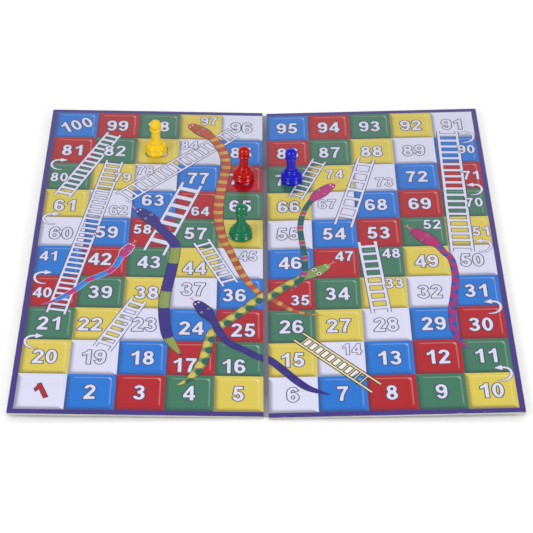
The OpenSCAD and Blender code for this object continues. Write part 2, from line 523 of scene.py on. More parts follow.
def lay_print(name, drawing):
    """Lays a drawing, in squares from the front left corner, on the halves that it reaches."""
    for side, half in SIDES.items():
        cut = bmesh.new()
        cut.from_mesh(drawing)
        whole = cut.verts[:] + cut.edges[:] + cut.faces[:]
        bmesh.ops.bisect_plane(
            cut, geom=whole, dist=1e-6, plane_co=(FOLD_AT, 0, 0), plane_no=(1, 0, 0),
            clear_outer=side < 0, clear_inner=side > 0,
        )
        if cut.faces:
            for vert in cut.verts:
                x = side * seam_edge + (vert.co.x - FOLD_AT) * square
                y = (vert.co.y - FOLD_AT) * square
                vert.co = half_places[side] @ Vector((x, y, print_top + vert.co.z))
            cut.normal_update()
            bmesh.ops.reverse_faces(cut, faces=[face for face in cut.faces if face.normal.z < 0])
            sheet = mesh_of(cut, f"{name}_{half}", drawing.materials)
            piece = placed(f"{name}_{half}", sheet)
            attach(piece, f"{half}_half")
        else:
            cut.free()


def pad_loop(inset, corner):
    """A square of side 1 with rounded corners, and how far each point of it faces up and right."""
    reach = 0.5 - inset - corner
    points = []
    for quarter, (sign_x, sign_y) in enumerate(QUARTERS):
        for step in range(PAD_CORNER_STEPS + 1):
            angle = math.radians(90 * (quarter + step / PAD_CORNER_STEPS))
            x = sign_x * reach + corner * math.cos(angle)
            y = sign_y * reach + corner * math.sin(angle)
            points.append((x, y, (math.cos(angle) + math.sin(angle)) / math.sqrt(2)))
    return points


def square_drawing():
    """One square: its flat rim, the line of the pad and its flat middle."""
    pad = bmesh.new()
    relief = pad.verts.layers.float.new("relief")
    rings = []
    for loop in PAD_LOOPS:
        ring = []
        for x, y, facing in pad_loop(loop["inset"], loop["corner"]):
            vert = pad.verts.new((x, y, SQUARES_LIFT))
            shade = max(facing, -PAD_DARK_MOST) * loop["dark"]
            vert[relief] = facing * loop["light"] if facing > 0 else shade
            ring.append(vert)
        rings.append(ring)
    count = len(rings[0])
    for outer, inner in zip(rings, rings[1:]):
        for i in range(count):
            pad.faces.new((outer[i], outer[(i + 1) % count], inner[(i + 1) % count], inner[i]))
    pad.faces.new(rings[-1])
    return mesh_of(pad, "square")


def squares_tree():
    inks = [f"Ink {i}" for i in range(len(SQUARE_INKS))]
    tree, given = new_tree("squares", Int=["Count"], Color=inks)
    span = maths(tree, "-", given["Count"], 1.0)
    feeds = {0: span, 1: span, 2: given["Count"], 3: given["Count"]}
    grid = wire(tree, "GeometryNodeMeshGrid", feeds)
    middle = maths(tree, "/", given["Count"], 2.0)
    corners = wire(tree, "GeometryNodeSetPosition", {0: grid, 3: vector(tree, middle, middle)})
    stamped = wire(tree, "GeometryNodeInstanceOnPoints", {0: corners, 2: given["Drawing"]})
    x, y, _ = split(tree, wire(tree, "GeometryNodeInputPosition"))
    column = maths(tree, "FLOOR", x)
    row = maths(tree, "FLOOR", maths(tree, "-", given["Count"], y))
    turn = maths(tree, "MODULO", maths(tree, "+", column, row), float(len(inks)))
    pick = node(tree, "GeometryNodeIndexSwitch", data_type="RGBA")
    while len(pick.index_switch_items) < len(inks):
        pick.index_switch_items.new()
    tree.links.new(maths(tree, "ROUND", turn), pick.inputs["Index"])
    for i, label in enumerate(inks, 1):
        tree.links.new(given[label], pick.inputs[i])
    inked = store(tree, stamped, "ink", pick.outputs[0], "FLOAT_COLOR", "INSTANCE")
    close_tree(tree, inked, given)
    return tree


squares_print = print_finish("squares_print", relief=True)
square_sizes = {"Count": SQUARES, "Finish": squares_print}
square_sizes.update({f"Ink {i}": ink for i, ink in enumerate(SQUARE_INKS)})
lay_print("squares", grow(squares_tree(), square_drawing(), square_sizes))


# NUMBERS
# The squares count from 1 at the front left, there and back, to 100 at the back left. The figures
# are bold and white with a thin dark line; the first and last are set slanting.
FIGURE_TALL = 0.405
FIGURE_SMALL = 0.32
FIGURE_WIDE = 0.60
FIGURE_STEP = 0.68
FIGURE_NARROW = 0.95
FIGURE_LINE = 0.052
LINE_SHARPEST = 0.5
FIGURE_WHITE = SQUARE_INKS[4]
FIGURE_RED = srgb(184, 8, 18)
FIGURE_DARK = srgb(52, 48, 82)
FIGURES_LIFT = 0.00004
LAYER = 0.00001
SLANT = math.radians(24)
MID_PLACE = (0.49, 0.50)
TALL_PLACES = {
    16: (0.38, 0.29), 17: (0.37, 0.30), 22: (0.35, 0.49), 24: (0.48, 0.41), 25: (0.58, 0.37),
    30: (0.48, 0.44), 36: (0.38, 0.46), 37: (0.49, 0.63), 42: (0.41, 0.58), 44: (0.49, 0.32),
    46: (0.49, 0.54), 55: (0.46, 0.53), 60: (0.48, 0.44), 61: (0.49, 0.43), 63: (0.48, 0.66),
    75: (0.44, 0.48), 76: (0.47, 0.49),
}
SMALL_PLACES = {
    14: (0.72, 0.78), 33: (0.74, 0.80), 35: (0.69, 0.32), 40: (0.25, 0.46), 41: (0.28, 0.66),
    45: (0.67, 0.75), 47: (0.69, 0.73), 48: (0.73, 0.79), 51: (0.79, 0.47), 52: (0.71, 0.75),
    58: (0.29, 0.62), 62: (0.71, 0.28), 64: (0.57, 0.29), 67: (0.37, 0.56), 70: (0.73, 0.50),
    71: (0.76, 0.50), 73: (0.72, 0.32), 74: (0.57, 0.66), 78: (0.24, 0.77), 79: (0.72, 0.49),
    80: (0.26, 0.46), 84: (0.25, 0.77), 90: (0.74, 0.50), 97: (0.70, 0.75),
}


def arc(x, y, wide, tall, start, stop, steps=12):
    """Points on an oval round (x, y), from one angle to another in degrees."""
    angles = [math.radians(start + (stop - start) * i / steps) for i in range(steps + 1)]
    return [(x + wide * math.cos(a), y + tall * math.sin(a)) for a in angles]


def oval(x, y, wide, tall):
    """A closed oval."""
    return arc(x, y, wide, tall, 0, 360, 24)[:-1]


SIX = [
    arc(0.30, 0.60, 0.30, 0.40, 25, 180) + arc(0.30, 0.31, 0.30, 0.31, 180, 460, 20)
    + arc(0.30, 0.60, 0.115, 0.245, 185, 30),
    oval(0.30, 0.31, 0.115, 0.145),
]
FIGURES = [
    [oval(0.30, 0.50, 0.30, 0.50), oval(0.30, 0.50, 0.115, 0.335)],
    [[(0.33, 0), (0.52, 0), (0.52, 1), (0.37, 1), (0.31, 0.90), (0.22, 0.82), (0.10, 0.77),
      (0.10, 0.61), (0.22, 0.66), (0.33, 0.73)]],
    [arc(0.30, 0.71, 0.29, 0.29, 175, -35) + [(0.28, 0.18), (0.59, 0.18), (0.59, 0), (0, 0), (0, 0.12)]
     + arc(0.30, 0.71, 0.105, 0.125, -35, 175)],
    [arc(0.29, 0.735, 0.27, 0.265, 165, -45) + arc(0.29, 0.29, 0.30, 0.29, 50, -170)
     + arc(0.29, 0.29, 0.115, 0.13, -165, 80) + [(0.21, 0.43), (0.21, 0.60)]
     + arc(0.29, 0.735, 0.095, 0.105, -80, 165)],
    [[(0.36, 0), (0.55, 0), (0.55, 0.20), (0.64, 0.20), (0.64, 0.36), (0.55, 0.36), (0.55, 1), (0.38, 1),
      (0.01, 0.37), (0.01, 0.20), (0.36, 0.20)], [(0.36, 0.36), (0.36, 0.68), (0.17, 0.36)]],
    [[(0.12, 1), (0.55, 1), (0.55, 0.83), (0.26, 0.83), (0.24, 0.66)]
     + arc(0.29, 0.325, 0.30, 0.325, 95, -165) + arc(0.29, 0.325, 0.11, 0.155, -160, 150) + [(0.03, 0.45)]],
    SIX,
    [[(0.03, 1), (0.60, 1), (0.60, 0.85), (0.48, 0.66), (0.39, 0.42), (0.34, 0.18), (0.33, 0), (0.14, 0),
      (0.16, 0.20), (0.22, 0.44), (0.31, 0.66), (0.40, 0.82), (0.03, 0.82)]],
    [arc(0.30, 0.745, 0.26, 0.255, -40, 220) + arc(0.30, 0.29, 0.30, 0.29, 137, 403),
     oval(0.30, 0.745, 0.09, 0.10), oval(0.30, 0.285, 0.11, 0.125)],
    [[(FIGURE_WIDE - x, 1 - y) for x, y in loop] for loop in SIX],
]


def line_round(points, half):
    """A closed line of even width along a loop: its inner and outer points."""
    sides = ([], [])
    for i, (x, y) in enumerate(points):
        before = Vector((x, y)) - Vector(points[i - 1])
        after = Vector(points[(i + 1) % len(points)]) - Vector((x, y))
        mean = before.normalized() + after.normalized()
        across = Vector((-mean.y, mean.x)).normalized()
        square_on = Vector((-after.y, after.x)).normalized()
        reach = half / max(across.dot(square_on), LINE_SHARPEST)
        sides[0].append((x - across.x * reach, y - across.y * reach))
        sides[1].append((x + across.x * reach, y + across.y * reach))
    return sides


def stamp(name, loops, half):
    """A stamp for printing: the loops filled, with a line along each. Line is 1 on the lines."""
    shape = bmesh.new()
    line = shape.verts.layers.float.new("line")
    fill = [shape.verts.new((x, y, LAYER)) for loop in loops for x, y in loop]
    for corners in tessellate_polygon([[Vector((x, y, 0)) for x, y in loop] for loop in loops]):
        shape.faces.new([fill[i] for i in corners])
    for loop in loops:
        inner, outer = [[shape.verts.new((x, y, 0)) for x, y in side] for side in line_round(loop, half)]
        for vert in inner + outer:
            vert[line] = 1.0
        for i in range(len(loop)):
            shape.faces.new((inner[i - 1], inner[i], outer[i], outer[i - 1]))
    bmesh.ops.recalc_face_normals(shape, faces=shape.faces[:])
    return mesh_of(shape, name)


def stamp_set(name, drawings):
    """A set of stamps that a tree picks from by number."""
    collection = bpy.data.collections.new(name)
    for i, drawing in enumerate(drawings):
        collection.objects.link(bpy.data.objects.new(f"{name}_{i:02d}", drawing))
    return collection


def stamps_tree():
    tree, given = new_tree("stamps", Collection=["Stamps"], Color=["Line Ink"])
    feeds = {0: given["Stamps"], 1: True, 2: True}
    stamps = wire(tree, "GeometryNodeCollectionInfo", feeds)
    size = kept(tree, "size")
    scale = vector(tree, size, size, 1.0)
    turn = vector(tree, z=kept(tree, "turn"))
    feeds = {0: given["Drawing"], 2: stamps, 3: True, 4: kept(tree, "stamp", "INT"), 5: turn, 6: scale}
    printed = wire(tree, "GeometryNodeInstanceOnPoints", feeds)
    real = wire(tree, "GeometryNodeRealizeInstances", {0: printed})
    ink = blend(tree, kept(tree, "line"), kept(tree, "fill_ink", "FLOAT_COLOR"), given["Line Ink"])
    close_tree(tree, store(tree, real, "ink", ink, "FLOAT_COLOR"), given)
    return tree


def stamp_points(places):
    """Points that carry the stamp's number, size, turn and ink."""
    mesh = bpy.data.meshes.new("stamp_points")
    mesh.from_pydata([place["at"] for place in places], [], [])
    for name, kind in (("stamp", "INT"), ("size", "FLOAT"), ("turn", "FLOAT")):
        values = [place[name] for place in places]
        mesh.attributes.new(name, kind, "POINT").data.foreach_set("value", values)
    inks = [channel for place in places for channel in place["ink"]]
    mesh.attributes.new("fill_ink", "FLOAT_COLOR", "POINT").data.foreach_set("color", inks)
    return mesh


def number_places():
    places = []
    for number in range(1, SQUARES * SQUARES + 1):
        row, step = divmod(number - 1, SQUARES)
        column = step if row % 2 == 0 else SQUARES - 1 - step
        small = number in SMALL_PLACES
        x, y = (SMALL_PLACES if small else TALL_PLACES).get(number, MID_PLACE)
        middle = Vector((column + x, row + y))
        size = FIGURE_SMALL if small else FIGURE_TALL
        slant = SLANT if number in (1, SQUARES * SQUARES) else 0.0
        digits = str(number)
        for i, digit in enumerate(digits):
            along = (i - (len(digits) - 1) / 2) * FIGURE_STEP - FIGURE_WIDE / 2 * FIGURE_NARROW
            corner = Matrix.Rotation(slant, 2) @ Vector((along * size, -size / 2))
            at = (middle.x + corner.x, middle.y + corner.y, FIGURES_LIFT)
            ink = FIGURE_RED if number == 1 else FIGURE_WHITE
            places.append({"at": at, "stamp": int(digit), "size": size, "turn": slant, "ink": ink})
    return places


figures_print = print_finish("figures_print")
figure_drawings = []
for i, loops in enumerate(FIGURES):
    narrow = [[(x * FIGURE_NARROW, y) for x, y in loop] for loop in loops]
    figure_drawings.append(stamp(f"figure_{i}", narrow, FIGURE_LINE))
stamp_tree = stamps_tree()
stamp_sizes = {"Line Ink": FIGURE_DARK, "Finish": figures_print}
stamp_sizes["Stamps"] = stamp_set("figure", figure_drawings)
lay_print("numbers", grow(stamp_tree, stamp_points(number_places()), stamp_sizes))


# ARROWS
# White arrows printed at the ends of the rows. Each curls round the end of one row and points into
# the next, with the same thin dark line as the figures.
ARROW_HALF = 0.027
ARROW_HEAD = 0.075
ARROW_POINT = 2.2
ARROW_TAIL = 0.35
ARROW_TAPER = 3
ARROW_LINE = 0.012
ARROW_STEPS = 16
ARROWS_LIFT = 0.00004
ARROW_LEFT = [(0.30, -0.25), (-0.02, -0.30), (-0.06, 0.14), (0.24, 0.11)]
ARROW_RIGHT = [(-0.32, -0.23), (0.02, -0.27), (0.04, 0.18), (-0.22, 0.14)]


def bent(points, share):
    """A point on the smooth curve from the first of four points to the last."""
    while len(points) > 1:
        points = [one.lerp(two, share) for one, two in zip(points, points[1:])]
    return points[0]


def arrow_loop(points):
    """The outline of an arrow along a bent shaft, drawn from its tail to its point."""
    points = [Vector(point) for point in points]
    shaft = [bent(points, i / ARROW_STEPS) for i in range(ARROW_STEPS + 1)]
    left, right = [], []
    for i, point in enumerate(shaft):
        ahead = (shaft[min(i + 1, ARROW_STEPS)] - shaft[max(i - 1, 0)]).normalized()
        across = Vector((-ahead.y, ahead.x))
        swell = min(1.0, ARROW_TAPER * i / ARROW_STEPS)
        half = ARROW_HALF * (ARROW_TAIL + (1 - ARROW_TAIL) * swell)
        left.append(point + across * half)
        right.append(point - across * half)
    neck = shaft[-1]
    tip = neck + ahead * ARROW_HEAD * ARROW_POINT
    loop = right + [neck - across * ARROW_HEAD, tip, neck + across * ARROW_HEAD] + left[::-1]
    return [(point.x, point.y) for point in loop]


def arrow_places():
    places = []
    for row in range(1, SQUARES):
        right = row % 2
        at = (SQUARES if right else 0, row, ARROWS_LIFT)
        places.append({"at": at, "stamp": right, "size": 1.0, "turn": 0.0, "ink": FIGURE_WHITE})
    return places


arrow_drawings = [
    stamp("arrow_left", [arrow_loop(ARROW_LEFT)], ARROW_LINE),
    stamp("arrow_right", [arrow_loop(ARROW_RIGHT)], ARROW_LINE),
]
stamp_sizes["Stamps"] = stamp_set("arrow", arrow_drawings)
lay_print("arrows", grow(stamp_tree, stamp_points(arrow_places()), stamp_sizes))


# LADDERS
# Eleven printed ladders, each with two rails and even rungs. Ten are white with a thin dark line;
# the one at the front right is drawn in pale wood with close rungs.
LADDER_WHITE = SQUARE_INKS[4]
LADDER_WOOD = srgb(228, 212, 158)
LADDER_DARK = FIGURE_DARK
WOOD_DARK = srgb(44, 36, 34)
LADDER_LINE = 0.017
WOOD_LINE = 0.025
LADDERS_LIFT = 0.00002
PANEL_LEVEL = -0.4
RUNG_LEVEL = 0.0
RAIL_LEVEL = 0.3
FILL_LEVEL = 0.7
END_GAPS = (0.65, 0.65)
PANEL_ENDS = (0.27, 0.92)
LADDERS = [
    {"foot": [(0.22, 6.82), (0.55, 6.72)], "head": [(1.28, 9.23), (1.58, 9.12)],
     "rungs": 14, "wide": (0.052, 0.080)},
    {"foot": [(0.41, 2.84), (0.78, 2.78)], "head": [(1.33, 8.13), (1.69, 8.06)],
     "rungs": 31, "wide": (0.048, 0.062)},
    {"foot": [(1.60, 6.86), (1.89, 6.57)], "head": [(4.20, 9.44), (4.44, 9.16)],
     "rungs": 18, "wide": (0.045, 0.055)},
    {"foot": [(2.37, 4.90), (2.80, 4.74)], "head": [(3.15, 7.34), (3.57, 7.21)],
     "rungs": 7, "wide": (0.060, 0.125), "gaps": (1.25, 0.70)},
    {"foot": [(4.14, 3.75), (4.44, 3.88)], "head": [(3.47, 5.16), (3.78, 5.31)],
     "rungs": 8, "wide": (0.048, 0.062)},
    {"foot": [(1.49, 1.82), (1.81, 1.68)], "head": [(2.19, 3.32), (2.48, 3.20)],
     "rungs": 8, "wide": (0.055, 0.080), "gaps": (0.95, 0.60)},
    {"foot": [(5.50, 6.85), (5.78, 6.73)], "head": [(6.10, 8.27), (6.38, 8.14)],
     "rungs": 8, "wide": (0.042, 0.055)},
    {"foot": [(6.53, 5.84), (6.89, 5.72)], "head": [(7.18, 8.27), (7.53, 8.19)],
     "rungs": 7, "wide": (0.052, 0.085), "gaps": (1.0, 0.70)},
    {"foot": [(9.08, 4.81), (9.54, 4.79)], "head": [(9.13, 9.24), (9.57, 9.22)],
     "rungs": 19, "wide": (0.060, 0.080)},
    {"foot": [(7.23, 2.86), (7.59, 2.88)], "head": [(7.04, 5.19), (7.40, 5.21)],
     "rungs": 9, "wide": (0.062, 0.075)},
    {"foot": [(7.09, 0.52), (7.28, 0.74)], "head": [(5.54, 2.09), (5.73, 2.29)],
     "rungs": 11, "wide": (0.038, 0.024), "gaps": (2.1, 1.1), "wooden": True},
]


def mixed(tree, share, first, second):
    """A point between two points."""
    feeds = {0: share, 4: first, 5: second}
    return node(tree, "ShaderNodeMix", feeds, data_type="VECTOR").outputs[1]


def ribbon(tree, path, width, lift, ink):
    """A flat inked band of the given width along a path."""
    upright = wire(tree, "GeometryNodeSetCurveNormal", {0: path}, mode="Z_UP")
    half = maths(tree, "*", width, 0.5)
    ends = {0: vector(tree, maths(tree, "*", half, -1.0)), 1: vector(tree, half)}
    flat = wire(tree, "GeometryNodeCurvePrimitiveLine", ends)
    band = wire(tree, "GeometryNodeCurveToMesh", {0: upright, 1: flat})
    raised = wire(tree, "GeometryNodeSetPosition", {0: band, 3: (0, 0, lift)})
    return store(tree, raised, "ink", ink, "FLOAT_COLOR")


def joined(tree, parts):
    """Puts several geometries together."""
    join = tree.nodes.new("GeometryNodeJoinGeometry")
    for part in parts:
        tree.links.new(part, join.inputs[0])
    return join.outputs[0]


def ladder_tree():
    ends = [f"{end} {side}" for end in ("Foot", "Head") for side in ("Left", "Right")]
    widths = ["Rail Width", "Rung Width", "Line", "Foot Gap", "Head Gap"]
    tree, given = new_tree("ladder", Vector=ends, Int=["Rungs"], Float=widths, Color=["Ink", "Line Ink"])
    rails = []
    for side in ("Left", "Right"):
        feeds = {0: given[f"Foot {side}"], 1: given[f"Head {side}"]}
        rails.append(wire(tree, "GeometryNodeCurvePrimitiveLine", feeds))
    index = tree.nodes.new("GeometryNodeInputIndex").outputs[0]
    gaps = maths(tree, "+", given["Foot Gap"], given["Head Gap"])
    spaces = maths(tree, "+", maths(tree, "-", given["Rungs"], 1.0), gaps)
    share = maths(tree, "/", maths(tree, "+", index, given["Foot Gap"]), spaces)
    left = mixed(tree, share, given["Foot Left"], given["Head Left"])
    right = mixed(tree, share, given["Foot Right"], given["Head Right"])
    middle = mixed(tree, 0.5, left, right)
    points = wire(tree, "GeometryNodePoints", {0: given["Rungs"], 1: middle})
    reach = wire(tree, "ShaderNodeVectorMath", {0: right, 1: left}, operation="SUBTRACT")
    length = node(tree, "ShaderNodeVectorMath", {0: reach}, operation="LENGTH").outputs["Value"]
    x, y, _ = split(tree, reach)
    turn = vector(tree, z=maths(tree, "ARCTAN2", y, x))
    scale = vector(tree, length, 1.0, 1.0)
    rung = wire(tree, "GeometryNodeCurvePrimitiveLine", {0: (-0.5, 0, 0), 1: (0.5, 0, 0)})
    turned = wire(tree, "FunctionNodeEulerToRotation", {0: turn})
    feeds = {0: points, 2: rung, 5: turned, 6: scale}
    rungs = wire(tree, "GeometryNodeInstanceOnPoints", feeds)
    rungs = wire(tree, "GeometryNodeRealizeInstances", {0: rungs})
    rails = joined(tree, rails)
    edge = maths(tree, "*", given["Line"], 2.0)
    bands = []
    for path, size, level in ((rungs, "Rung Width", RUNG_LEVEL), (rails, "Rail Width", RAIL_LEVEL)):
        lined = maths(tree, "+", given[size], edge)
        bands.append(ribbon(tree, path, lined, LADDERS_LIFT + LAYER * level, given["Line Ink"]))
        top = LADDERS_LIFT + LAYER * (level + FILL_LEVEL)
        bands.append(ribbon(tree, path, given[size], top, given["Ink"]))
    close_tree(tree, joined(tree, bands), given)
    return tree


def ladder_panel(ladder):
    """The white ground between the rails of the wooden ladder, short of its ends."""
    corners = []
    for side, shares in ((0, PANEL_ENDS), (1, PANEL_ENDS[::-1])):
        foot, head = Vector(ladder["foot"][side]), Vector(ladder["head"][side])
        corners += [(*foot.lerp(head, share), LADDERS_LIFT + LAYER * PANEL_LEVEL) for share in shares]
    mesh = bpy.data.meshes.new("ladder_panel")
    mesh.from_pydata(corners, [], [(0, 1, 2, 3)])
    inks = [channel for corner in corners for channel in LADDER_WHITE]
    mesh.attributes.new("ink", "FLOAT_COLOR", "POINT").data.foreach_set("color", inks)
    return mesh


def join_meshes(name, meshes):
    """Several drawings with the same finish as one mesh."""
    whole = bmesh.new()
    for mesh in meshes:
        whole.from_mesh(mesh)
    return mesh_of(whole, name, meshes[0].materials)


def ladder_drawings():
    tree = ladder_tree()
    drawings = []
    for ladder in LADDERS:
        wooden = ladder.get("wooden", False)
        rail, rung = ladder["wide"]
        foot_gap, head_gap = ladder.get("gaps", END_GAPS)
        sizes = {"Rungs": ladder["rungs"], "Foot Gap": foot_gap, "Head Gap": head_gap}
        sizes.update({"Rail Width": rail, "Rung Width": rung, "Finish": figures_print})
        sizes["Line"] = WOOD_LINE if wooden else LADDER_LINE
        sizes["Ink"] = LADDER_WOOD if wooden else LADDER_WHITE
        sizes["Line Ink"] = WOOD_DARK if wooden else LADDER_DARK
        for end in ("foot", "head"):
            for side, point in zip(("Left", "Right"), ladder[end]):
                sizes[f"{end.title()} {side}"] = (*point, 0.0)
        drawings.append(grow(tree, bpy.data.meshes.new("ladder"), sizes))
        if wooden:
            drawings.append(ladder_panel(ladder))
    return join_meshes("ladders", drawings)


lay_print("ladders", ladder_drawings())


# SNAKES
# Seven printed snakes, from the head at the upper end to the tail at the lower one. Each is a band
# that swells at the head and thins to the tail, with its own colours and pattern of bands or spots.
SNAKES_LIFT = 0.000055
SNAKE_STEPS = 160
SNAKE_ACROSS = 9
SNAKE_STACK = 0.5
HEAD_SHAPE = [
    (0.0, 0.0), (0.03, 0.38), (0.11, 0.62), (0.32, 0.87), (0.56, 1.0), (0.80, 0.86), (1.0, 0.56),
]
TAIL_TAPER = [(0.0, 0.0), (0.10, 0.20), (0.35, 0.58), (0.70, 0.90), (1.0, 1.0)]
SNAKE_LINE = srgb(44, 38, 52)
EYE_WHITE = srgb(232, 232, 228)
EYE_GREY = srgb(168, 172, 174)
EYE_DARK = srgb(24, 20, 26)
TONGUE_PINK = srgb(218, 132, 140)
BAND_RIM = 0.045
BAND_BOW = 0.12
BAND_SOFT = 0.01
FIRST_SOFT = 0.02
SPOT_REACH = 0.2
SPOT_SOFT = 0.05
FACE_SOFT = 0.02
SHADE_SHARE = 0.22
SLIM_SPAN = (0.38, 0.70)
NECK_SPAN = (0.75, 1.25)
FACE_PLACES = {
    "fork": (0.13, 0.0), "root": (-0.05, 0.0), "prong": (0.23, 0.18), "nostril": (-0.12, 0.13),
    "eye": (-0.52, 0.27),
}
TONGUE_HALF = 0.014
TONGUE_LEVEL = -0.2
EYE_LEVEL = 0.3
PUPIL_LEVEL = 0.6
PUPIL_SHARE = 0.62
NOSTRIL_SHARE = 0.06
SNAKES = [
    {"name": "orange", "layer": 0, "wide": 0.25, "slim": 0.70, "head": (0.36, 0.76), "tail": 2.0,
     "eye": 0.11, "ground": srgb(182, 74, 46), "mark": srgb(204, 158, 76),
     "kind": "bands", "start": 0.825, "pitch": 0.281, "share": 0.40,
     "path": [(3.20, 9.59), (3.40, 9.44), (3.82, 9.02), (4.06, 8.52), (4.14, 7.98), (4.06, 7.33),
              (4.00, 6.70), (3.99, 6.05), (4.09, 5.40), (4.28, 4.87), (4.39, 4.56), (4.60, 4.03),
              (4.86, 3.60), (5.17, 3.30), (5.49, 3.02), (5.83, 2.88), (6.20, 2.82)]},
    {"name": "violet", "layer": 0, "wide": 0.25, "head": (0.36, 0.76), "tail": 0.75,
     "eye": 0.10, "ground": srgb(42, 25, 130), "mark": srgb(137, 155, 78),
     "kind": "bands", "start": 1.66, "pitch": 1.46, "share": 0.36,
     "path": [(2.11, 6.33), (2.30, 6.16), (2.64, 5.74), (2.93, 5.32), (3.05, 5.02), (3.01, 4.38),
              (2.94, 3.82), (2.88, 3.27), (2.90, 2.74), (2.99, 2.18), (3.15, 1.83), (3.32, 1.56)]},
    {"name": "sky", "layer": 0, "wide": 0.145, "head": (0.27, 0.52), "tail": 0.8,
     "eye": 0.10, "ground": srgb(12, 126, 226), "mark": srgb(186, 26, 120),
     "kind": "bands", "start": 0.90, "pitch": 0.55, "share": 0.41,
     "line": SQUARE_INKS[4], "face": srgb(186, 26, 120),
     "path": [(2.11, 5.13), (2.01, 4.95), (1.85, 4.62), (1.78, 4.38), (1.65, 4.18), (1.42, 4.02),
              (1.20, 3.87), (0.98, 3.60), (0.72, 3.34), (0.46, 3.15), (0.25, 3.07)]},
    {"name": "indigo", "layer": 2, "wide": 0.185, "head": (0.34, 0.72), "tail": 0.8,
     "eye": 0.09, "ground": srgb(37, 22, 126), "mark": srgb(46, 32, 136),
     "kind": "spots", "pitch": 0.34,
     "path": [(3.53, 3.25), (3.68, 3.06), (3.94, 2.63), (4.10, 2.27), (4.29, 1.97), (4.60, 1.77),
              (4.89, 1.57), (5.03, 1.51), (5.30, 1.21), (5.58, 0.88), (5.84, 0.65), (6.28, 0.46)]},
    {"name": "magenta", "layer": 0, "wide": 0.165, "head": (0.38, 0.80), "tail": 0.9,
     "eye": 0.10, "iris": srgb(140, 136, 144), "nostril": srgb(84, 20, 56),
     "ground": srgb(178, 8, 109), "mark": srgb(36, 72, 170), "second": srgb(36, 72, 170),
     "kind": "side spots", "start": 0.89, "pitch": 0.51, "spots": (0.55, -0.55, 0.13),
     "path": [(8.23, 5.60), (8.45, 5.36), (8.75, 5.05), (8.90, 4.78), (9.04, 4.54), (9.08, 4.01),
              (9.01, 3.46), (8.91, 2.90), (8.89, 2.37), (9.00, 1.94), (9.22, 1.64)]},
    {"name": "teal", "layer": 2, "wide": 0.135, "head": (0.32, 0.80), "tail": 0.55,
     "eye": 0.09, "ground": srgb(0, 87, 92), "mark": srgb(184, 28, 122),
     "kind": "bands", "start": 1.22, "pitch": 0.523, "share": 0.32,
     "edge": srgb(131, 154, 86), "face": srgb(184, 28, 122),
     "path": [(6.57, 7.29), (6.38, 7.12), (6.00, 6.67), (5.81, 6.22), (5.74, 5.73), (5.77, 5.24),
              (5.82, 4.67), (5.81, 4.30), (5.74, 4.02), (5.62, 3.80), (5.49, 3.61)]},
    {"name": "green", "layer": 1, "wide": 0.23, "head": (0.32, 0.72), "tail": 0.8,
     "eye": 0.16, "iris": EYE_WHITE,
     "ground": srgb(129, 151, 78), "mark": srgb(214, 191, 84), "second": srgb(0, 92, 86),
     "kind": "side spots", "start": 0.89, "pitch": 0.325, "spots": (0.42, -0.58, 0.28),
     "path": [(6.36, 4.46), (6.16, 4.30), (5.80, 4.07), (5.40, 3.79), (5.05, 3.47), (4.90, 3.35),
              (4.53, 2.93), (4.18, 2.58), (3.93, 2.27), (3.83, 1.84), (3.76, 1.45), (3.60, 1.07),
              (3.43, 0.84), (3.20, 0.69)]},
]


def shaped(tree, value, points):
    """A curve through given points from 0 to 1 that a value is read through."""
    made = node(tree, "ShaderNodeFloatCurve", {1: value})
    curve = made.mapping.curves[0]
    curve.points[0].location = points[0]
    curve.points[1].location = points[-1]
    for point in points[1:-1]:
        curve.points.new(*point)
    made.mapping.extend = "HORIZONTAL"
    made.mapping.clip_max_y = 2.0
    made.mapping.use_clip = False
    made.mapping.update()
    return made.outputs[0]


def snake_tree():
    widths = ["Head Width", "Head Length", "Tail Length", "Width", "Slim", "Lift"]
    tree, given = new_tree("snake", Float=widths, Int=["Steps"])
    path = wire(tree, "GeometryNodeMeshToCurve", {0: given["Drawing"]})
    path = wire(tree, "GeometryNodeCurveSplineType", {0: path}, spline_type="CATMULL_ROM")
    path = wire(tree, "GeometryNodeResampleCurve", {0: path, 2: given["Steps"]})
    path = wire(tree, "GeometryNodeSetCurveNormal", {0: path}, mode="Z_UP")
    along = tree.nodes.new("GeometryNodeSplineParameter").outputs["Length"]
    whole = tree.nodes.new("GeometryNodeSplineLength").outputs["Length"]
    path = store(tree, path, "along", along)
    from_snout = maths(tree, "/", kept(tree, "along"), given["Head Length"])
    from_tail = maths(tree, "/", maths(tree, "-", whole, along), given["Tail Length"])
    head = maths(tree, "*", shaped(tree, from_snout, HEAD_SHAPE), given["Head Width"])
    smooth = {"interpolation_type": "SMOOTHSTEP"}
    share = maths(tree, "/", along, whole)
    slim = remap(tree, share, SLIM_SPAN, (1.0, given["Slim"]), **smooth)
    width = maths(tree, "*", given["Width"], slim)
    body = maths(tree, "*", shaped(tree, from_tail, TAIL_TAPER), width)
    neck = remap(tree, from_snout, NECK_SPAN, (0.0, 1.0), **smooth)
    breadth = wire(tree, "ShaderNodeMix", {0: neck, 2: head, 3: body})
    path = store(tree, path, "breadth", maths(tree, "*", breadth, 0.5))
    flat = wire(tree, "GeometryNodeCurvePrimitiveLine", {0: (-1, 0, 0), 1: (1, 0, 0)})
    flat = wire(tree, "GeometryNodeResampleCurve", {0: flat, 2: SNAKE_ACROSS})
    across = tree.nodes.new("GeometryNodeSplineParameter").outputs["Factor"]
    flat = store(tree, flat, "across", vary(tree, across, swing=2.0, least=-1.0))
    feeds = {0: path, 1: flat, 2: kept(tree, "breadth")}
    body = wire(tree, "GeometryNodeCurveToMesh", feeds)
    body = wire(tree, "GeometryNodeSetPosition", {0: body, 3: vector(tree, z=given["Lift"])})
    close_tree(tree, body, given)
    return tree


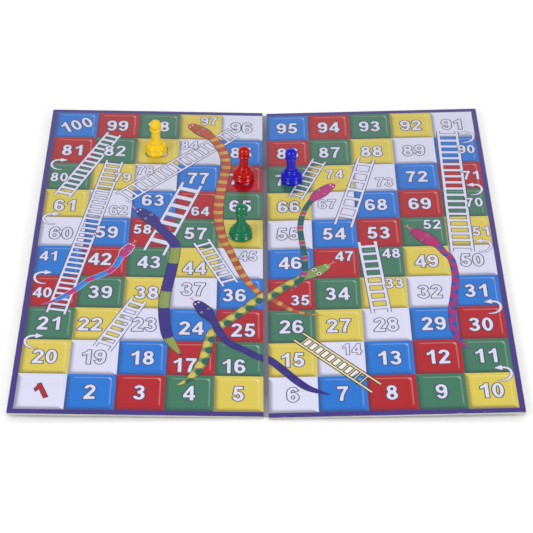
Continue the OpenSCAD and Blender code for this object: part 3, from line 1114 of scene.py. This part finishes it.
def spot(tree, steps, across, shift, middle, reach, stretch):
    """1 inside round spots that repeat along the body, at one distance from its middle line."""
    turn = maths(tree, "FRACT", maths(tree, "+", steps, shift))
    apart = maths(tree, "*", maths(tree, "-", across, middle), stretch)
    squares = [maths(tree, "*", part, part) for part in (maths(tree, "-", turn, 0.5), apart)]
    far = maths(tree, "SQRT", maths(tree, "+", *squares))
    return window(tree, far, reach + SPOT_SOFT, reach)


def snake_skin(snake):
    """Printed skin: bands or spots behind the head, and a thin line along both sides."""
    finish, tree, shader = new_finish(f"snake_{snake['name']}")
    along = node(tree, "ShaderNodeAttribute", attribute_name="along").outputs["Fac"]
    across = node(tree, "ShaderNodeAttribute", attribute_name="across").outputs["Fac"]
    square_across = maths(tree, "*", across, across)
    past = maths(tree, "-", along, snake.get("start", 0.0))
    steps = maths(tree, "/", past, snake["pitch"])
    stretch = snake["wide"] / snake["pitch"] / 2
    ground, mark = snake["ground"], snake["mark"]
    if snake["kind"] == "bands":
        half = snake["share"] / 2
        bowed = maths(tree, "FRACT", vary(tree, square_across, BAND_BOW * stretch, steps))
        off = maths(tree, "ABSOLUTE", maths(tree, "-", bowed, half))
        band = window(tree, off, half + BAND_SOFT, half - BAND_SOFT)
        first = window(tree, past, -FIRST_SOFT, 0.0)
        skin = blend(tree, maths(tree, "*", band, first), ground, mark)
        if "edge" in snake:
            apart = maths(tree, "ABSOLUTE", maths(tree, "-", off, half))
            rim = maths(tree, "*", maths(tree, "LESS_THAN", apart, BAND_RIM), first)
            skin = blend(tree, rim, skin, snake["edge"])
    elif snake["kind"] == "spots":
        skin = blend(tree, spot(tree, steps, across, 0.0, 0.0, SPOT_REACH, stretch), ground, mark)
    else:
        right, left, reach = snake["spots"]
        skin = blend(tree, spot(tree, steps, across, 0.0, right, reach, stretch), ground, mark)
        skin = blend(tree, spot(tree, steps, across, 0.5, left, reach, stretch), skin, snake["second"])
    nape = snake["head"][1]
    behind_head = window(tree, along, nape * (1 - FACE_SOFT), nape * (1 + FACE_SOFT))
    skin = blend(tree, behind_head, snake.get("face", ground), skin)
    dusk = maths(tree, "*", window(tree, across, low=-0.1, high=1.0), SHADE_SHARE)
    side = window(tree, square_across, low=0.72, high=0.84)
    ink = blend(tree, side, blend(tree, dusk, skin, SNAKE_LINE), snake.get("line", SNAKE_LINE))
    film_over(tree, shader, ink)
    return finish


def snake_path(points):
    """The middle line of a snake as a chain of edges."""
    mesh = bpy.data.meshes.new("snake_path")
    mesh.from_pydata([(x, y, 0) for x, y in points], [(i, i + 1) for i in range(len(points) - 1)], [])
    return mesh


def face_drawing(snakes):
    """Eyes, nostrils and a forked tongue for every snake, as flat inked patches."""
    patch = bmesh.new()
    ink = patch.verts.layers.float_color.new("ink")

    def fill(points, colour, level):
        verts = [patch.verts.new((x, y, lift + LAYER * level)) for x, y in points]
        for vert in verts:
            vert[ink] = colour
        patch.faces.new(verts)

    def on_head(feature, way=1):
        """A place ahead of the snout and aside of it, in shares of the head's length and width."""
        forward, sideways = FACE_PLACES[feature]
        return snout + ahead * long * forward + aside * wide * sideways * way

    for snake in snakes:
        snout = Vector(snake["path"][0])
        ahead = (snout - Vector(snake["path"][1])).normalized()
        aside = Vector((-ahead.y, ahead.x))
        wide, long = snake["head"]
        thin = aside * TONGUE_HALF
        lift = SNAKES_LIFT + LAYER * SNAKE_STACK * snake["layer"]
        fork, root = on_head("fork"), on_head("root")
        fill([root - thin, fork - thin, fork + thin, root + thin], TONGUE_PINK, TONGUE_LEVEL)
        for way in (-1, 1):
            middle = fork + ahead * TONGUE_HALF * 2
            prong = [fork - thin * way, middle, on_head("prong", way), fork + thin * way]
            fill(prong, TONGUE_PINK, TONGUE_LEVEL)
            nostril, eye = on_head("nostril", way), on_head("eye", way)
            dot, size = wide * NOSTRIL_SHARE, wide * snake["eye"]
            pupil = size * PUPIL_SHARE
            fill(oval(*nostril, dot, dot), snake.get("nostril", EYE_WHITE), EYE_LEVEL)
            fill(oval(*eye, size, size), snake.get("iris", EYE_GREY), EYE_LEVEL)
            fill(oval(*eye, pupil, pupil), EYE_DARK, PUPIL_LEVEL)
    return mesh_of(patch, "snake_faces", [figures_print])


snakes_tree = snake_tree()
for snake in SNAKES:
    wide, long = snake["head"]
    lift = SNAKES_LIFT + LAYER * SNAKE_STACK * snake["layer"]
    sizes = {"Head Width": wide, "Head Length": long, "Tail Length": snake["tail"], "Lift": lift}
    sizes.update({"Width": snake["wide"], "Slim": snake.get("slim", 1.0), "Steps": SNAKE_STEPS})
    sizes["Finish"] = snake_skin(snake)
    lay_print(f"snake_{snake['name']}", grow(snakes_tree, snake_path(snake["path"]), sizes))
lay_print("snake_faces", face_drawing(SNAKES))


# PAWNS
# Four pawns moulded in glossy coloured plastic, hollow underneath. Each is a turned shape: a round
# base, a ring, a bell with a step, a straight neck, a collar and a round head, with a fine mould seam.
PAWN_TALL = 0.023
HEAD_R = 0.00345
COLLAR_DROP = 0.00295
COLLAR_R = 0.0035
COLLAR_T = 0.0014
THROAT_R = 0.0029
NECK_R = 0.0026
NECK_FOOT_R = 0.00275
STEP_R = 0.00385
STEP_AT = 0.0085
STEP_T = 0.0008
SLOPE_AT = 0.0069
BELL_R = 0.0061
BELL_MID = 0.0045
SHOULDER_R = 0.0012
RING_R = 0.0063
RING_T = 0.0011
BASE_R = 0.0065
BASE_ROUND = 0.0014
BASE_MID = 0.00125
GROOVE_R = 0.00585
WALL = 0.0012
HOLLOW_ROUND = 0.0003
HOLLOW_FLAT = 0.8
EDGE_ROUND = 0.0002
FOOT_DEPTH = 0.00002
SEAM_PROUD = 0.00004
SEAM_FROM = 0.0004
SEAM_OUTSIDE = 0.002
FLOW_SIZE = 0.006
FLOW_STRETCH = (1, 1, 0.4)
HAZE_SIZE = 0.002
HAZE_RELIEF = 0.2
ROWS = 200
TURNS = 72
PLASTICS = {
    "yellow": (srgb(255, 208, 0), -1),
    "red": (srgb(194, 0, 2), -1),
    "green": (srgb(0, 120, 80), -1),
    "blue": (srgb(12, 18, 200), 1),
}


def round_at(height, radius, middle, reach):
    """Radius at a height of a rounded part whose rounding of the given radius is centred at middle."""
    inside = radius * radius - (height - middle) ** 2
    return reach - radius + math.sqrt(inside) if inside > 0 else 0.0


def pawn_radius(height):
    """Outer radius of the pawn at a height: the widest of its rounds and straight runs there."""
    head_at = PAWN_TALL - HEAD_R
    collar_at = head_at - COLLAR_DROP
    step_mid = STEP_AT - STEP_T / 2
    ring_at = (BASE_MID + BELL_MID) / 2 + RING_T / 4
    slope_out = BELL_R - SHOULDER_R * (1 - math.sqrt(0.5))
    slope_low = BELL_MID + SHOULDER_R * math.sqrt(0.5)
    # A round: its radius, the height of its middle and how far out it reaches.
    rounds = [
        (HEAD_R, head_at, HEAD_R),
        (COLLAR_T / 2, collar_at, COLLAR_R),
        (STEP_T / 2, step_mid, STEP_R),
        (SHOULDER_R, BELL_MID, BELL_R),
        (RING_T / 2, ring_at, RING_R),
        (BASE_ROUND, BASE_MID, BASE_R),
    ]
    # A run: a height and the radius there, then a second height and its radius.
    runs = [
        (0.0, BASE_R - BASE_ROUND, BELL_MID, BASE_R - BASE_ROUND),
        (BASE_MID, GROOVE_R, BELL_MID, GROOVE_R),
        (BELL_MID, STEP_R, step_mid, STEP_R),
        (slope_low, slope_out, SLOPE_AT, STEP_R),
        (step_mid, NECK_FOOT_R, collar_at, NECK_R),
        (collar_at, THROAT_R, head_at, THROAT_R),
    ]
    parts = [round_at(height, *part) for part in rounds]
    for low, foot, high, top in runs:
        if low <= height <= high:
            parts.append(foot + (top - foot) * (height - low) / (high - low))
    sweep = STEP_R - STEP_T / 2 - NECK_FOOT_R
    if STEP_AT <= height < STEP_AT + sweep:
        parts.append(NECK_FOOT_R + sweep - math.sqrt(sweep ** 2 - (STEP_AT + sweep - height) ** 2))
    return max(parts)


def pawn_outline():
    """Half the section, from the roof of the hollow, round the standing edge, to the top of the head."""
    roof = PAWN_TALL - HEAD_R - COLLAR_DROP - COLLAR_T
    mouth = GROOVE_R - 2 * WALL
    core = NECK_R - WALL
    points = [(0.0, roof), (core * HOLLOW_FLAT, roof), (core, roof - HOLLOW_ROUND), (core, STEP_AT)]
    points += [(mouth, HOLLOW_ROUND), (mouth + EDGE_ROUND, 0.0)]
    heights = [PAWN_TALL * (1 - math.cos(math.pi * i / ROWS)) / 2 for i in range(ROWS)]
    points += [(pawn_radius(height), height) for height in heights]
    return points + [(0.0, PAWN_TALL)]


def pawn_mesh(colour, side):
    """Turns the outline about the pawn's axis, where its CAD solid stands."""
    lean = half_places[side].to_3x3()
    up = lean @ Vector((0, 0, 1))
    solid = frame["nodes"]["pawn_" + colour].data.vertices
    heights = [up.dot(vert.co) for vert in solid]
    foot = [vert.co for vert, height in zip(solid, heights) if height < min(heights) + FOOT_DEPTH]
    stand = sum(foot, Vector()) / len(foot)
    place = Matrix.Translation(stand) @ lean.to_4x4()
    shape = bmesh.new()
    rings = []
    for radius, height in pawn_outline():
        count = 1 if radius == 0.0 else TURNS
        ring = []
        for i in range(count):
            angle = 2 * math.pi * i / TURNS
            seamed = i % (TURNS // 2) == 0 and height > SEAM_FROM and radius > SEAM_OUTSIDE
            reach = radius + (SEAM_PROUD if seamed else 0.0)
            point = Vector((reach * math.cos(angle), reach * math.sin(angle), height))
            ring.append(shape.verts.new(place @ point))
        rings.append(ring)
    for one, two in zip(rings, rings[1:]):
        for i in range(TURNS):
            corners = [one[i % len(one)], one[(i + 1) % len(one)]]
            corners += [two[(i + 1) % len(two)], two[i % len(two)]]
            shape.faces.new(list(dict.fromkeys(corners)))
    bmesh.ops.recalc_face_normals(shape, faces=shape.faces[:])
    for face in shape.faces:
        face.smooth = True
    return mesh_of(shape, "pawn_" + colour)


def plastic_finish(colour, tint):
    """Glossy moulded plastic: nearly clear skin with faint flow marks and handling haze."""
    finish, tree, shader = new_finish(f"{colour}_plastic")
    flow = grain(tree, FLOW_SIZE, stretch=FLOW_STRETCH)
    haze = grain(tree, HAZE_SIZE, detail=6)
    skin = blend(tree, 1.0, tint, vary(tree, flow, swing=0.16, least=0.92), "MULTIPLY")
    rough = vary(tree, haze, swing=0.10, least=0.10)
    feed(tree, shader, {"Base Color": skin, "Roughness": rough, "IOR": 1.59})
    roughen(tree, shader, maths(tree, "+", flow, maths(tree, "*", haze, HAZE_RELIEF)), depth=0.00002)
    return finish


for colour, (tint, side) in PLASTICS.items():
    pawn = placed(f"pawn_{colour}_moulded", pawn_mesh(colour, side))
    give(pawn, plastic_finish(colour, tint))
    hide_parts("pawn_" + colour)
    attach(pawn, "pawn_" + colour)
